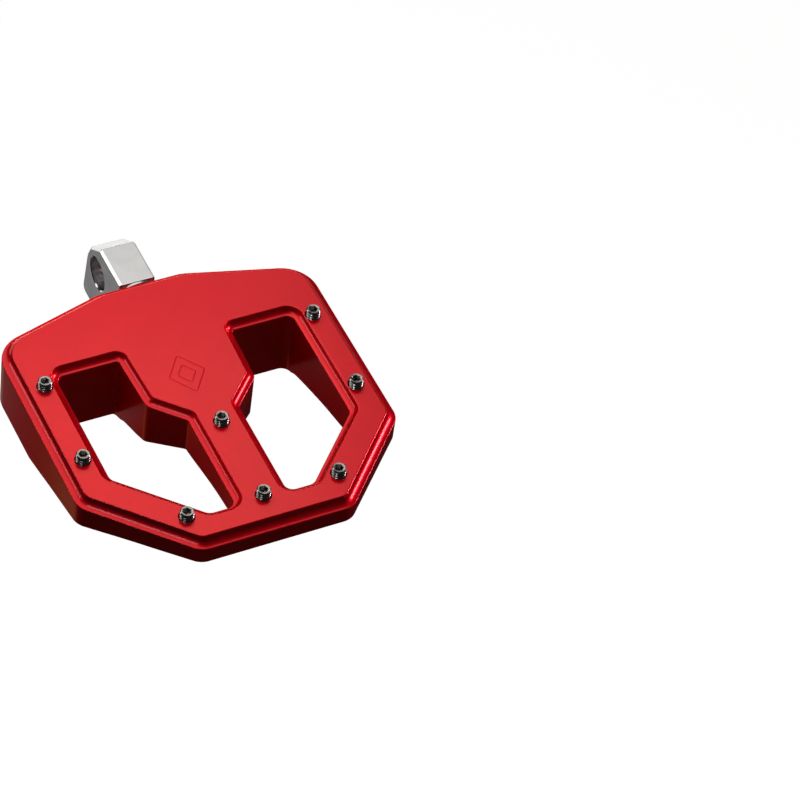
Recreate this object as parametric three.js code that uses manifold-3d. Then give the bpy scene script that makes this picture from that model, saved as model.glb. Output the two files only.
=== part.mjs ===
// Flat foot platform on a folding hinge tongue.
// Millimetres, +Z up from the tread, +X along the pivot pin, +Y from the platform towards the pivot.
// The origin is the centre of the pivot hole in the tongue.

import * as THREE from 'three';
import { mergeVertices } from 'three/addons/utils/BufferGeometryUtils.js';
import Module from 'manifold-3d';

// ---------- driving dimensions ----------

const PLATFORM_WIDTH = 114.3;
const CENTRE_TO_PIVOT = 89.2;      // centre traction pin to pivot hole
const DECK_HEIGHT = 15.3;          // tread surface above the pivot axis
const REAR_FACE = 69.1;            // from the centre traction pin
const FRONT_FACE = -46.6;

const RIM_COVE = { width: 2.9, drop: 2.85, land: 0.05, edge: 0.2 };
const RIM_OFFSET = RIM_COVE.width + RIM_COVE.land + RIM_COVE.edge;
const WINDOW_COVE = { width: 2.3, drop: 2.3, land: 0.05, edge: 0.15 };

const UNDERSIDE_DEPTH = 28.8;      // full thickness at the rear
const SIDE_WALL_DEPTH = 22.0;      // where the bottom bevel of the side starts
const PAD = { halfWidth: 17.0, length: 13.0 };   // full-depth pad that carries the hinge tongue

const GAP = 0.3;                   // between pieces that touch
const BEYOND = 5.0;                // how far a cutter runs past what it cuts

const PIN = { radius: 2.4, length: 8.0, height: 2.9, hex: 2.4, hexDepth: 2.6, edge: 0.35 };
const PIN_HOLE = { radius: PIN.radius + GAP, depth: 12.0 };
const PIN_PLACES = [
  [-48.6, 33.8], [48.6, 33.8],
  [-48.9, 0.0], [0.0, 0.0], [48.9, 0.0],
  [-26.9, -33.8], [0.0, -33.8], [26.9, -33.8],
];

const TONGUE = { halfWidth: 6.5, edge: 0.6, front: -19.0, top: 12.4, bottom: -18.3 };
const PIVOT_HOLE = { radius: 6.15, edge: 0.35 };
const BOSS = { radius: 12.3, front: -(CENTRE_TO_PIVOT - REAR_FACE) + GAP, overlap: 0.2 };
const STEM = { radius: 9.0, length: 14.0, boreRadius: 5.1, boreEnd: -13.0 };

const BOLT = {
  radius: 4.75, hole: 5.35, headRadius: 7.15, headHeight: 9.5, edge: 0.8, hex: 7.9, hexDepth: 5.0, tip: -14.0,
};
const FLAT_WASHER = { outer: 8.7, inner: 5.1, thickness: 1.8, edge: 0.2 };
const LOCK_WASHER = { outer: 8.2, inner: 5.1, thickness: 2.4, edge: 0.2, slit: 1.0, slitTilt: 0.35 };
const POCKET = { halfWidth: 9.6, front: 20.0, seat: 44.0, ceiling: -5.8, corner: 3.0 };

const SHARPEST = 0.2;              // smallest corner radius in any outline
const CORNER_STEPS = 5;
const COVE_STEPS = 4;
const ROUND_STEPS = 32;
const SMALL_ROUND_STEPS = 24;
const UNDERSIDE_STEPS = 24;

// Corners are [x, y, radius], counter-clockwise, seen from above, about the centre traction pin.
const SIDE_X = PLATFORM_WIDTH / 2 - RIM_OFFSET;
const REAR_Y = REAR_FACE - RIM_OFFSET;
const FRONT_Y = FRONT_FACE + RIM_OFFSET;
const RIGHT_HALF_OUTLINE = [
  [25.4, FRONT_Y, 3.6],
  [SIDE_X, -14.7, 4.4],
  [SIDE_X, 55.4, 9.4],
  [15.0, REAR_Y, 12.0],
];
const RIGHT_WINDOW = [
  [6.65, -35.7, 5.5],
  [19.6, -35.7, 6.5],
  [45.45, -9.9, 6.0],
  [45.45, 40.6, 5.4],
  [18.2, 40.6, 3.7],
  [17.2, 17.35, 1.6],
  [6.65, 6.8, 4.0],
];

// Underside of the platform, [y, depth], as a smooth curve from the front edge to the rear pad.
const UNDERSIDE = [
  [-60.0, 8.9], [-46.6, 9.35], [-26.6, 10.3], [-12.5, 12.4], [5.0, 16.6],
  [17.0, 20.2], [27.0, 23.6], [31.5, 25.4], [35.5, 28.0], [38.5, UNDERSIDE_DEPTH],
];

// Side outline of the tongue, [y, z, radius] about the pivot: square below, bevelled and rounded above.
const TONGUE_SIDE = [
  [TONGUE.front, TONGUE.bottom, 0.8],
  [11.9, TONGUE.bottom, 3.0],
  [9.6, 1.5, 12.0],
  [7.3, 6.3, 2.5],
  [-0.6, TONGUE.top, 0.8],
  [TONGUE.front, TONGUE.top, 0.6],
];

// ---------- materials ----------

function finish(color, roughness, metalness) {
  return new THREE.MeshStandardMaterial({ color, roughness, metalness });
}

const redAnodised = finish(0xc8202c, 0.38, 0.85);
const satinSteel = finish(0xb4b4b8, 0.28, 0.95);
const darkSteel = finish(0x6e6e72, 0.35, 0.95);

// ---------- solids ----------

const wasm = await Module();
wasm.setup();

function toSolid(geometry) {
  const bare = geometry.index ? geometry.toNonIndexed() : geometry.clone();
  for (const name of Object.keys(bare.attributes)) {
    if (name !== 'position') bare.deleteAttribute(name);
  }
  const merged = mergeVertices(bare, 1e-5);
  return new wasm.Manifold(new wasm.Mesh({
    numProp: 3,
    vertProperties: new Float32Array(merged.attributes.position.array),
    triVerts: new Uint32Array(merged.index.array),
  }));
}

function toGeometry(solid) {
  const mesh = solid.getMesh();
  const geometry = new THREE.BufferGeometry();
  geometry.setAttribute('position', new THREE.BufferAttribute(mesh.vertProperties, mesh.numProp));
  geometry.setIndex(new THREE.BufferAttribute(mesh.triVerts, 1));
  geometry.computeVertexNormals();
  return geometry;
}

function cut(solid, ...tools) {
  return tools.reduce((rest, tool) => rest.subtract(toSolid(tool)), solid);
}

// Stands a shape drawn as (y, z) upright, with its depth along X.
const ACROSS_X = new THREE.Matrix4().makeBasis(
  new THREE.Vector3(0, 1, 0), new THREE.Vector3(0, 0, 1), new THREE.Vector3(1, 0, 0),
);

// ---------- outlines ----------

// A closed outline with rounded corners, moved outwards by offset (inwards when negative).
function roundedLoop(corners, offset) {
  const points = [];
  corners.forEach(([x, y, radius], i) => {
    const corner = new THREE.Vector2(x, y);
    const before = new THREE.Vector2(...corners.at(i - 1));
    const after = new THREE.Vector2(...corners[(i + 1) % corners.length]);
    const arriving = corner.clone().sub(before).normalize();
    const leaving = after.sub(corner).normalize();
    const left0 = new THREE.Vector2(-arriving.y, arriving.x);
    const left1 = new THREE.Vector2(-leaving.y, leaving.x);
    const turn = Math.atan2(arriving.cross(leaving), arriving.dot(leaving));
    const side = Math.sign(turn);
    const mitre = left0.clone().add(left1).divideScalar(1 + left0.dot(left1));
    const reach = Math.max(radius + side * offset, SHARPEST);
    const centre = corner.clone().addScaledVector(mitre, side * reach - offset);
    for (let step = 0; step <= CORNER_STEPS; step += 1) {
      const normal = left0.clone().rotateAround(new THREE.Vector2(), turn * step / CORNER_STEPS);
      points.push(centre.clone().addScaledVector(normal, -side * reach));
    }
  });
  return points;
}

function mirrored(corners) {
  return corners.map(([x, y, radius]) => [-x, y, radius]).reverse();
}

// A closed solid through loops of the same length, given from the highest to the lowest.
function loft(layers) {
  const count = layers[0].loop.length;
  const position = layers.flatMap(({ loop, z }) => loop.flatMap((p) => [p.x, p.y, z]));
  const index = [];
  for (let layer = 0; layer < layers.length - 1; layer += 1) {
    for (let i = 0; i < count; i += 1) {
      const next = (i + 1) % count;
      const [upper, upperNext] = [layer * count + i, layer * count + next];
      const [lower, lowerNext] = [upper + count, upperNext + count];
      index.push(upper, lower, upperNext, upperNext, lower, lowerNext);
    }
  }
  const base = (layers.length - 1) * count;
  for (const [a, b, c] of THREE.ShapeUtils.triangulateShape(layers[0].loop, [])) {
    index.push(a, b, c);
  }
  for (const [a, b, c] of THREE.ShapeUtils.triangulateShape(layers.at(-1).loop, [])) {
    index.push(base + a, base + c, base + b);
  }
  const geometry = new THREE.BufferGeometry();
  geometry.setAttribute('position', new THREE.Float32BufferAttribute(position, 3));
  geometry.setIndex(index);
  return geometry;
}

// Offsets and heights of a concave cove that runs from the tread's edge down to a land and a wall.
function coveProfile(cove) {
  const profile = [];
  for (let step = 0; step <= COVE_STEPS; step += 1) {
    const angle = step / COVE_STEPS * Math.PI / 2;
    profile.push([cove.width * (1 - Math.cos(angle)), -cove.drop * Math.sin(angle)]);
  }
  profile.push([cove.width + cove.land + cove.edge, -cove.drop - cove.edge]);
  return profile;
}

// ---------- platform ----------

const OUTLINE = [...RIGHT_HALF_OUTLINE, ...mirrored(RIGHT_HALF_OUTLINE)];
const DEEP = UNDERSIDE_DEPTH + BEYOND;

function platformBlank() {
  const profile = [...coveProfile(RIM_COVE), [RIM_OFFSET, -DEEP]];
  return loft(profile.map(([offset, z]) => ({ loop: roundedLoop(OUTLINE, offset), z })));
}

function windowCutter(corners) {
  const profile = [[0, BEYOND], ...coveProfile(WINDOW_COVE)];
  profile.push([profile.at(-1)[0], -DEEP - BEYOND]);
  return loft(profile.map(([offset, z]) => ({ loop: roundedLoop(corners, -offset), z })));
}

// Everything below the underside curve, across the whole width.
function undersideCutter() {
  const curve = new THREE.SplineCurve(UNDERSIDE.map(([y, depth]) => new THREE.Vector2(y, -depth)));
  const shape = new THREE.Shape(curve.getPoints(UNDERSIDE_STEPS));
  shape.lineTo(REAR_FACE + BEYOND, -UNDERSIDE_DEPTH);
  shape.lineTo(REAR_FACE + BEYOND, -DEEP - BEYOND);
  shape.lineTo(UNDERSIDE[0][0], -DEEP - BEYOND);
  const geometry = new THREE.ExtrudeGeometry(shape, {
    depth: PLATFORM_WIDTH + 2 * BEYOND, bevelEnabled: false,
  });
  return geometry.applyMatrix4(ACROSS_X).translate(-PLATFORM_WIDTH / 2 - BEYOND, 0, 0);
}

// What the bottom bevel leaves: a tapering block, and the full-depth pad behind the tongue.
function belowBevel() {
  const drop = UNDERSIDE_DEPTH - SIDE_WALL_DEPTH;
  const outside = 2;
  const taper = loft([
    { loop: roundedLoop(OUTLINE, RIM_OFFSET + outside), z: outside },
    { loop: roundedLoop(OUTLINE, RIM_OFFSET + outside), z: -SIDE_WALL_DEPTH + outside },
    { loop: roundedLoop(OUTLINE, RIM_OFFSET - drop), z: -UNDERSIDE_DEPTH },
    { loop: roundedLoop(OUTLINE, RIM_OFFSET - drop - outside), z: -UNDERSIDE_DEPTH - outside },
  ]);
  const pad = new THREE.BoxGeometry(2 * PAD.halfWidth, PAD.length + BEYOND, UNDERSIDE_DEPTH + 2 * outside)
    .translate(0, REAR_FACE + (BEYOND - PAD.length) / 2, -UNDERSIDE_DEPTH / 2);
  return toSolid(taper).add(toSolid(pad));
}

// A solid of revolution about Y through points [radius, y].
function lathe(half, steps = ROUND_STEPS) {
  return new THREE.LatheGeometry(half.map(([r, y]) => new THREE.Vector2(r, y)), steps);
}

function roundBar(radius, y0, y1, steps = ROUND_STEPS) {
  return new THREE.CylinderGeometry(radius, radius, y1 - y0, steps).translate(0, (y0 + y1) / 2, 0);
}

function boltPocket() {
  const { halfWidth, front, seat, corner } = POCKET;
  const corners = [
    [-halfWidth, front, corner], [halfWidth, front, corner],
    [halfWidth, seat, corner / 2], [-halfWidth, seat, corner / 2],
  ];
  const loop = roundedLoop(corners, 0);
  return loft([{ loop, z: POCKET.ceiling }, { loop, z: -DEEP }]);
}

function pinHole([x, y]) {
  const { radius, depth } = PIN_HOLE;
  const geometry = new THREE.CylinderGeometry(radius, radius, depth + BEYOND, SMALL_ROUND_STEPS);
  return geometry.rotateX(Math.PI / 2).translate(x, y, (BEYOND - depth) / 2);
}

function platformGeometry() {
  const blank = toSolid(platformBlank()).intersect(belowBevel());
  const shaped = cut(
    blank,
    undersideCutter(),
    windowCutter(RIGHT_WINDOW),
    windowCutter(mirrored(RIGHT_WINDOW)),
    boltPocket(),
    roundBar(BOLT.hole, POCKET.seat - BEYOND, REAR_FACE).translate(0, 0, -DECK_HEIGHT),
    roundBar(STEM.radius + GAP, REAR_FACE - STEM.length - 2 * GAP, REAR_FACE + BEYOND)
      .translate(0, 0, -DECK_HEIGHT),
    ...PIN_PLACES.map(pinHole),
  );
  return toGeometry(shaped);
}

// ---------- traction pins, hexagon socket set screws ----------

function hexagonPrism(acrossFlats, depth) {
  return new THREE.CylinderGeometry(acrossFlats / Math.sqrt(3), acrossFlats / Math.sqrt(3), depth, 6);
}

function pinGeometry() {
  const { radius, length, height, edge } = PIN;
  const bottom = height - length;
  const half = [
    [0, bottom], [radius - edge, bottom], [radius, bottom + edge],
    [radius, height - edge], [radius - edge, height], [0, height],
  ];
  const body = lathe(half, SMALL_ROUND_STEPS);
  const socket = hexagonPrism(PIN.hex, PIN.hexDepth + BEYOND)
    .translate(0, height + (BEYOND - PIN.hexDepth) / 2, 0);
  return toGeometry(cut(toSolid(body), socket)).rotateX(Math.PI / 2);
}

// ---------- hinge tongue with its boss and stem ----------

function tongueGeometry() {
  const { halfWidth, edge, front } = TONGUE;
  const profile = [
    [-edge, halfWidth], [0, halfWidth - edge], [0, edge - halfWidth], [-edge, -halfWidth],
  ];
  const block = loft(profile.map(([offset, z]) => ({ loop: roundedLoop(TONGUE_SIDE, offset), z })))
    .applyMatrix4(ACROSS_X);
  const straight = halfWidth - PIVOT_HOLE.edge;
  const hole = [
    [0, -halfWidth - BEYOND], [PIVOT_HOLE.radius + PIVOT_HOLE.edge + BEYOND, -halfWidth - BEYOND],
    [PIVOT_HOLE.radius, -straight], [PIVOT_HOLE.radius, straight],
    [PIVOT_HOLE.radius + PIVOT_HOLE.edge + BEYOND, halfWidth + BEYOND], [0, halfWidth + BEYOND],
  ];
  const pivotHole = lathe(hole, 2 * SMALL_ROUND_STEPS).rotateZ(-Math.PI / 2);
  const stemFront = BOSS.front - STEM.length;
  const solid = toSolid(block)
    .add(toSolid(roundBar(BOSS.radius, BOSS.front, front + BOSS.overlap, 2 * ROUND_STEPS)))
    .add(toSolid(roundBar(STEM.radius, stemFront, front + BOSS.overlap)));
  return toGeometry(cut(solid, pivotHole, roundBar(STEM.boreRadius, stemFront - BEYOND, STEM.boreEnd)));
}

// ---------- clamp bolt and washers, on the stem's axis ----------

const SEAT = POCKET.seat - CENTRE_TO_PIVOT;
const FLAT_WASHER_Y = SEAT - GAP - FLAT_WASHER.thickness;
const LOCK_WASHER_Y = FLAT_WASHER_Y - GAP - LOCK_WASHER.thickness;
const HEAD_FACE_Y = LOCK_WASHER_Y - GAP;

function boltGeometry() {
  const { radius, headRadius, headHeight, edge } = BOLT;
  const headEnd = HEAD_FACE_Y - headHeight;
  const half = [
    [0, headEnd], [headRadius - edge, headEnd], [headRadius, headEnd + edge],
    [headRadius, HEAD_FACE_Y], [radius, HEAD_FACE_Y],
    [radius, BOLT.tip - edge], [radius - edge, BOLT.tip], [0, BOLT.tip],
  ];
  const socket = hexagonPrism(BOLT.hex, BOLT.hexDepth + BEYOND)
    .translate(0, headEnd + (BOLT.hexDepth - BEYOND) / 2, 0);
  return toGeometry(cut(toSolid(lathe(half)), socket));
}

function ring({ outer, inner, thickness, edge }, y) {
  const section = [
    [inner, y], [outer - edge, y], [outer, y + edge],
    [outer, y + thickness - edge], [outer - edge, y + thickness], [inner, y + thickness], [inner, y],
  ];
  return lathe(section);
}

function lockWasherGeometry() {
  const { outer, inner, thickness, slit, slitTilt } = LOCK_WASHER;
  const gap = new THREE.BoxGeometry(slit, thickness + BEYOND, 2 * (outer - inner))
    .rotateZ(slitTilt)
    .translate(0, LOCK_WASHER_Y + thickness / 2, -(outer + inner) / 2);
  return toGeometry(cut(toSolid(ring(LOCK_WASHER, LOCK_WASHER_Y)), gap));
}

// ---------- assembly ----------

function piece(name, geometry, material) {
  const mesh = new THREE.Mesh(geometry, material);
  mesh.name = name;
  return mesh;
}

const tread = new THREE.Group();
tread.position.set(0, -CENTRE_TO_PIVOT, DECK_HEIGHT);
tread.add(piece('platform', platformGeometry(), redAnodised));
PIN_PLACES.forEach(([x, y], i) => {
  const pin = piece(`traction_pin_${i + 1}`, pinGeometry(), darkSteel);
  pin.position.set(x, y, 0);
  tread.add(pin);
});

const pedal = new THREE.Group();
pedal.add(
  tread,
  piece('mount_tongue', tongueGeometry(), satinSteel),
  piece('clamp_bolt', boltGeometry(), darkSteel),
  piece('lock_washer', lockWasherGeometry(), darkSteel),
  piece('flat_washer', toGeometry(toSolid(ring(FLAT_WASHER, FLAT_WASHER_Y))), satinSteel),
);

export default pedal;
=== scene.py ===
"""Finish a red anodised flat pedal: its platform, traction pins, hinge tongue, clamp bolt and washers."""

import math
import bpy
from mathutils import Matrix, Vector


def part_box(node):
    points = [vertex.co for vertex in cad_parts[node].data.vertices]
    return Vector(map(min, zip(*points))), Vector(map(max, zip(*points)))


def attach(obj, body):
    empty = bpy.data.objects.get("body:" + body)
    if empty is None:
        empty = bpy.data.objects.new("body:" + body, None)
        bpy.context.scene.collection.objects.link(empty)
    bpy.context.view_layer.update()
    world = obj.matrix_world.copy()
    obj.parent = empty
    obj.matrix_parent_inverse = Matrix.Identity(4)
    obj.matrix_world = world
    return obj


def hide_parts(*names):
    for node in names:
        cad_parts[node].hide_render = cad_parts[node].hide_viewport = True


bl_info = {
    "name": "Flat Pedal",
    "version": (1, 0, 0),
    "blender": (4, 5, 0),
    "location": "View3D > Sidebar > Pedal",
    "description": "Makes the fine pieces, finishes and studio of a flat foot pedal on a hinge tongue",
    "category": "Add Mesh",
}

from types import SimpleNamespace

import bpy
from bpy.props import FloatProperty, FloatVectorProperty, IntProperty, PointerProperty
from mathutils import Matrix, Vector

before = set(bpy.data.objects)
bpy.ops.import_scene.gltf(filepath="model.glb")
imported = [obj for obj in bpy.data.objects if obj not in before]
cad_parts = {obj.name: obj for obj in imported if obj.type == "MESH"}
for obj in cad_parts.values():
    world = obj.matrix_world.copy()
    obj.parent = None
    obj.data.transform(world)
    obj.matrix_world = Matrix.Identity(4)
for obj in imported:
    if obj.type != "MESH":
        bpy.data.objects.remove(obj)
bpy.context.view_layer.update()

MM = 0.001


# ---------- places taken from the frame, in millimetres ----------

def box_mm(node):
    """Lowest and highest corner of a CAD node, in millimetres."""
    low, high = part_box(node)
    return low / MM, high / MM


PIN_NODES = sorted(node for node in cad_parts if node.startswith("traction_pin_"))
CENTRE_PIN = "traction_pin_4"

PLATFORM_LOW, PLATFORM_HIGH = box_mm("platform")
TONGUE_LOW = box_mm("mount_tongue")[0]
BOLT_LOW, BOLT_HIGH = box_mm("clamp_bolt")
CENTRE_PIN_LOW, CENTRE_PIN_HIGH = box_mm(CENTRE_PIN)

# The platform is drawn about its centre pin, at the height of the tread.
TREAD_ORIGIN = Vector((0.0, (CENTRE_PIN_LOW.y + CENTRE_PIN_HIGH.y) / 2, PLATFORM_HIGH.z))
HALF_WIDTH = PLATFORM_HIGH.x
REAR_FACE = PLATFORM_HIGH.y - TREAD_ORIGIN.y
FRONT_FACE = PLATFORM_LOW.y - TREAD_ORIGIN.y
UNDERSIDE_DEPTH = PLATFORM_HIGH.z - PLATFORM_LOW.z
STEM_HEIGHT = -TREAD_ORIGIN.z

# ---------- fineness ----------

CORNER_STEPS = 12
COVE_STEPS = 12
EDGE_STEPS = 4
ROUND_STEPS = 96
PIN_STEPS = 60
THREAD_RINGS = 10                  # rings of points in one pitch of a thread
KNURL_RINGS = 8                    # rings of points along the knurl of the bolt's head
CURVE_STEPS = 10                   # steps between two points of the underside
SHARPEST = 0.2                     # smallest corner radius in an outline
BEYOND = 5.0                       # how far a cutting tool runs past what it cuts
RUN_ON = 2.0                       # how far the slope of a lower edge's last step runs on below it
SMOOTH_BELOW = math.radians(28)

# ---------- outlines, in millimetres ----------
# Corners are (x, y, radius), counter-clockwise from above.

RIM_OFFSET = 3.15                  # from the tread's edge to the outer wall
COVE_END = math.radians(80)        # how far a cove turns towards level
SIDE_X = HALF_WIDTH - RIM_OFFSET
REAR_Y = REAR_FACE - RIM_OFFSET
FRONT_Y = FRONT_FACE + RIM_OFFSET
RIGHT_HALF_OUTLINE = [
    (25.4, FRONT_Y, 3.6),
    (SIDE_X, -14.7, 4.4),
    (SIDE_X, 55.4, 9.4),
    (15.0, REAR_Y, 12.0),
]
RIGHT_WINDOW = [
    (6.65, -35.7, 5.5),
    (19.6, -35.7, 6.5),
    (45.45, -9.9, 6.0),
    (45.45, 40.6, 5.4),
    (18.2, 40.6, 3.7),
    (17.2, 17.35, 1.6),
    (6.65, 6.8, 4.0),
]
DIAMOND = [(0.0, -8.6, 0.8), (6.4, 0.0, 0.8), (0.0, 8.6, 0.8), (-6.4, 0.0, 0.8)]
DIAMOND_CENTRE = Vector((-2.0, 23.5))
DIAMOND_SCALES = (1.0, 0.5)        # of the outer and the inner engraved line

# Underside of the platform, (y, depth), from the front edge to the rear pad.
UNDERSIDE = [
    (-60.0, 8.9), (-46.6, 9.35), (-26.6, 10.3), (-12.5, 12.4), (5.0, 16.6),
    (17.0, 20.2), (27.0, 23.6), (31.5, 25.4), (35.5, 28.0), (38.5, UNDERSIDE_DEPTH),
]

STEM_GAP = 0.3                     # between the platform and the stem or the boss
TONGUE_FRONT = -19.0
TONGUE_TOP = 12.4
# Side of the tongue, (y, z, radius) about the pivot.
TONGUE_SIDE = [
    (TONGUE_FRONT, TONGUE_LOW.z, 0.8),
    (11.87, TONGUE_LOW.z, 3.0),
    (9.6, 1.5, 12.0),
    (7.3, 6.3, 3.5),
    (-0.6, TONGUE_TOP, 1.2),
    (TONGUE_FRONT, TONGUE_TOP, 0.6),
]


# ---------- settings ----------

def length(name, default, description):
    """A length that the user may change."""
    return FloatProperty(name=name, description=description, default=default, min=0.0, precision=5,
                         unit="LENGTH")


def colour(name, default, description):
    """A colour that the user may change."""
    return FloatVectorProperty(name=name, description=description, default=default, min=0.0, max=1.0,
                               size=3, subtype="COLOR")


def degrees(name, default, description):
    """An angle that the user may change, given in degrees."""
    return FloatProperty(name=name, description=description, default=math.radians(default),
                         subtype="ANGLE")


def number(name, default, description):
    """A plain number that the user may change."""
    return FloatProperty(name=name, description=description, default=default, min=0.0)


class PlatformSizes(bpy.types.PropertyGroup):
    """Sizes of the foot platform."""

    rim_drop: length("Rim drop", 0.00285, "Height of the cove round the tread")
    window_rim: length("Window rim", 0.0025, "From the tread's edge at a window to the window's wall")
    window_drop: length("Window drop", 0.0023, "Height of the cove round each window")
    rim_edge: length("Rim edge", 0.0004, "Rounding between the rim and the outer wall")
    window_edge: length("Window edge", 0.0004, "Rounding between a window's rim and its wall")
    tread_edge: length("Tread edge", 0.0006, "Rounding of the tread's edges")
    lower_edge: length("Lower edge", 0.0005, "Rounding along the underside")
    side_wall: length("Side wall", 0.022, "Height of the side wall above its bottom bevel")
    pad_half_width: length("Pad half width", 0.017, "Half width of the full-depth rear pad")
    pad_length: length("Pad length", 0.013, "Length of the full-depth rear pad")
    pin_hole: length("Pin hole", 0.0027, "Radius of a hole for a traction pin")
    pin_hole_depth: length("Pin hole depth", 0.012, "Depth of a hole for a traction pin")
    countersink: length("Countersink", 0.00015, "Chamfer round each pin hole")
    mark_width: length("Mark width", 0.0008, "Width of the engraved lines")
    mark_depth: length("Mark depth", 0.00014, "Depth of the engraved lines")


class PinSizes(bpy.types.PropertyGroup):
    """Sizes of a traction pin."""

    radius: length("Radius", 0.0024, "Radius over the thread")
    edge: length("Chamfer", 0.0004, "Chamfer at both ends")
    pitch: length("Pitch", 0.00106, "Distance between two threads")
    thread_depth: length("Thread depth", 0.0006, "Depth of the thread")
    hexagon: length("Hexagon", 0.0025, "Across the flats of the socket")
    hexagon_depth: length("Hexagon depth", 0.0026, "Depth of the socket")
    socket_edge: length("Socket chamfer", 0.0001, "Chamfer round the socket")


class TongueSizes(bpy.types.PropertyGroup):
    """Sizes of the hinge tongue."""

    half_width: length("Half width", 0.0065, "Half of the tongue's width between its cheeks")
    edge: length("Chamfer", 0.0008, "Chamfer along the tongue's side edges")
    hole: length("Pivot hole", 0.00615, "Radius of the pivot hole")
    hole_edge: length("Hole chamfer", 0.00035, "Chamfer round the pivot hole")
    boss: length("Boss", 0.0123, "Radius of the boss behind the tongue")
    stem: length("Stem", 0.009, "Radius of the stem")
    stem_bore: length("Stem bore", 0.0051, "Radius of the bore for the clamp bolt")
    stem_bore_end: length("Bore end", 0.013, "Distance of the bore's end from the pivot")


class HardwareSizes(bpy.types.PropertyGroup):
    """Sizes of the clamp bolt, its washers and their pocket."""

    bolt: length("Bolt", 0.00475, "Radius of the bolt's shank")
    bolt_hole: length("Bolt hole", 0.00535, "Radius of the bolt's hole in the platform")
    head_height: length("Head height", 0.0095, "Height of the bolt's head")
    head_edge: length("Head chamfer", 0.0008, "Chamfer of the bolt's head")
    bolt_hexagon: length("Bolt hexagon", 0.0079, "Across the flats of the bolt's socket")
    bolt_hexagon_depth: length("Bolt hexagon depth", 0.005, "Depth of the bolt's socket")
    knurl_depth: length("Knurl depth", 0.00022, "Depth of the grooves round the bolt's head")
    washer_bore: length("Washer bore", 0.0051, "Radius of the washers' bore")
    washer_edge: length("Washer edge", 0.0003, "Rounding of the washers' edges")
    washer_slit: length("Washer slit", 0.001, "Opening of the lock washer")
    pocket_half_width: length("Pocket half width", 0.0096, "Half width of the bolt's pocket")
    pocket_front: length("Pocket front", 0.020, "Front wall of the pocket from the centre pin")
    pocket_seat: length("Pocket seat", 0.044, "Rear wall of the pocket from the centre pin")
    pocket_ceiling: length("Pocket ceiling", 0.0058, "Top of the pocket below the tread")
    pocket_corner: length("Pocket corner", 0.003, "Radius of the pocket's front corners")


class Finishes(bpy.types.PropertyGroup):
    """Colours of the metal finishes."""

    red: colour("Red", (0.87, 0.004, 0.016), "Anodised red")
    deep_red: colour("Deep red", (0.84, 0.003, 0.016), "Anodised red in its darker clouds")
    edge_tint: colour("Edge tint", (1.0, 0.12, 0.08), "Tint of the red where it is seen along the surface")
    satin_steel: colour("Satin steel", (0.66, 0.66, 0.67), "Machined steel of the tongue")
    pin_steel: colour("Pin steel", (0.34, 0.34, 0.33), "Steel of the traction pins")
    black_steel: colour("Black steel", (0.055, 0.055, 0.06), "Black oxide of the clamp bolt")
    zinc: colour("Zinc", (0.66, 0.67, 0.68), "Plating of the flat washer")


class StudioSettings(bpy.types.PropertyGroup):
    """Camera, floor and surround of the studio."""

    azimuth: degrees("Azimuth", -32.378, "Direction of the camera from straight ahead, to the left below 0")
    elevation: degrees("Elevation", 47.287, "Height of the camera over the horizon")
    roll: degrees("Roll", 9.269, "Turn of the camera about its own axis")
    distance: length("Distance", 1.24616, "From the camera to the pivot, along the view")
    aside: length("Aside", 0.09848, "How far the camera stands to the right of the pivot")
    below: length("Below", 0.04513, "How far the camera stands below the pivot in the frame")
    lens: number("Lens", 162.417, "Focal length in millimetres")
    floor_drop: length("Floor drop", 1.3, "Height of the pivot above the floor")
    backdrop: number("Backdrop", 1.0, "Brightness of the background")
    surround: number("Surround", 0.02, "Brightness of the surroundings in the metal")


class PedalSettings(bpy.types.PropertyGroup):
    """Everything about the pedal that a user may change."""

    platform: PointerProperty(type=PlatformSizes)
    pin: PointerProperty(type=PinSizes)
    tongue: PointerProperty(type=TongueSizes)
    hardware: PointerProperty(type=HardwareSizes)
    finishes: PointerProperty(type=Finishes)
    studio: PointerProperty(type=StudioSettings)
    knurls: IntProperty(name="Knurls", description="Grooves round the bolt's head", default=48, min=6)


def millimetres(group):
    """A settings group's lengths as plain millimetres."""
    return SimpleNamespace(**{name: getattr(group, name) / MM for name in group.__annotations__})


# ---------- outlines and sections ----------

def rounded_loop(corners, offset=0.0, steps=CORNER_STEPS):
    """A closed outline with rounded corners, moved outwards by offset."""
    points = []
    for i, (x, y, radius) in enumerate(corners):
        corner = Vector((x, y))
        arriving = (corner - Vector(corners[i - 1][:2])).normalized()
        leaving = (Vector(corners[(i + 1) % len(corners)][:2]) - corner).normalized()
        left0 = Vector((-arriving.y, arriving.x))
        left1 = Vector((-leaving.y, leaving.x))
        turn = math.atan2(arriving.cross(leaving), arriving.dot(leaving))
        side = math.copysign(1.0, turn)
        mitre = (left0 + left1) / (1 + left0.dot(left1))
        reach = max(radius + side * offset, SHARPEST)
        centre = corner + mitre * (side * reach - offset)
        for step in range(steps + 1):
            normal = Matrix.Rotation(turn * step / steps, 2) @ left0
            points.append(centre - normal * (side * reach))
    return points


def mirrored(corners):
    """The outline on the other side of the YZ plane."""
    return [(-x, y, radius) for x, y, radius in reversed(corners)]


OUTLINE = RIGHT_HALF_OUTLINE + mirrored(RIGHT_HALF_OUTLINE)


def quarter(steps):
    """Sine and cosine at even steps from 0 to 90 degrees."""
    angles = [math.pi / 2 * step / steps for step in range(steps + 1)]
    return [(math.sin(angle), math.cos(angle)) for angle in angles]


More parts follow.
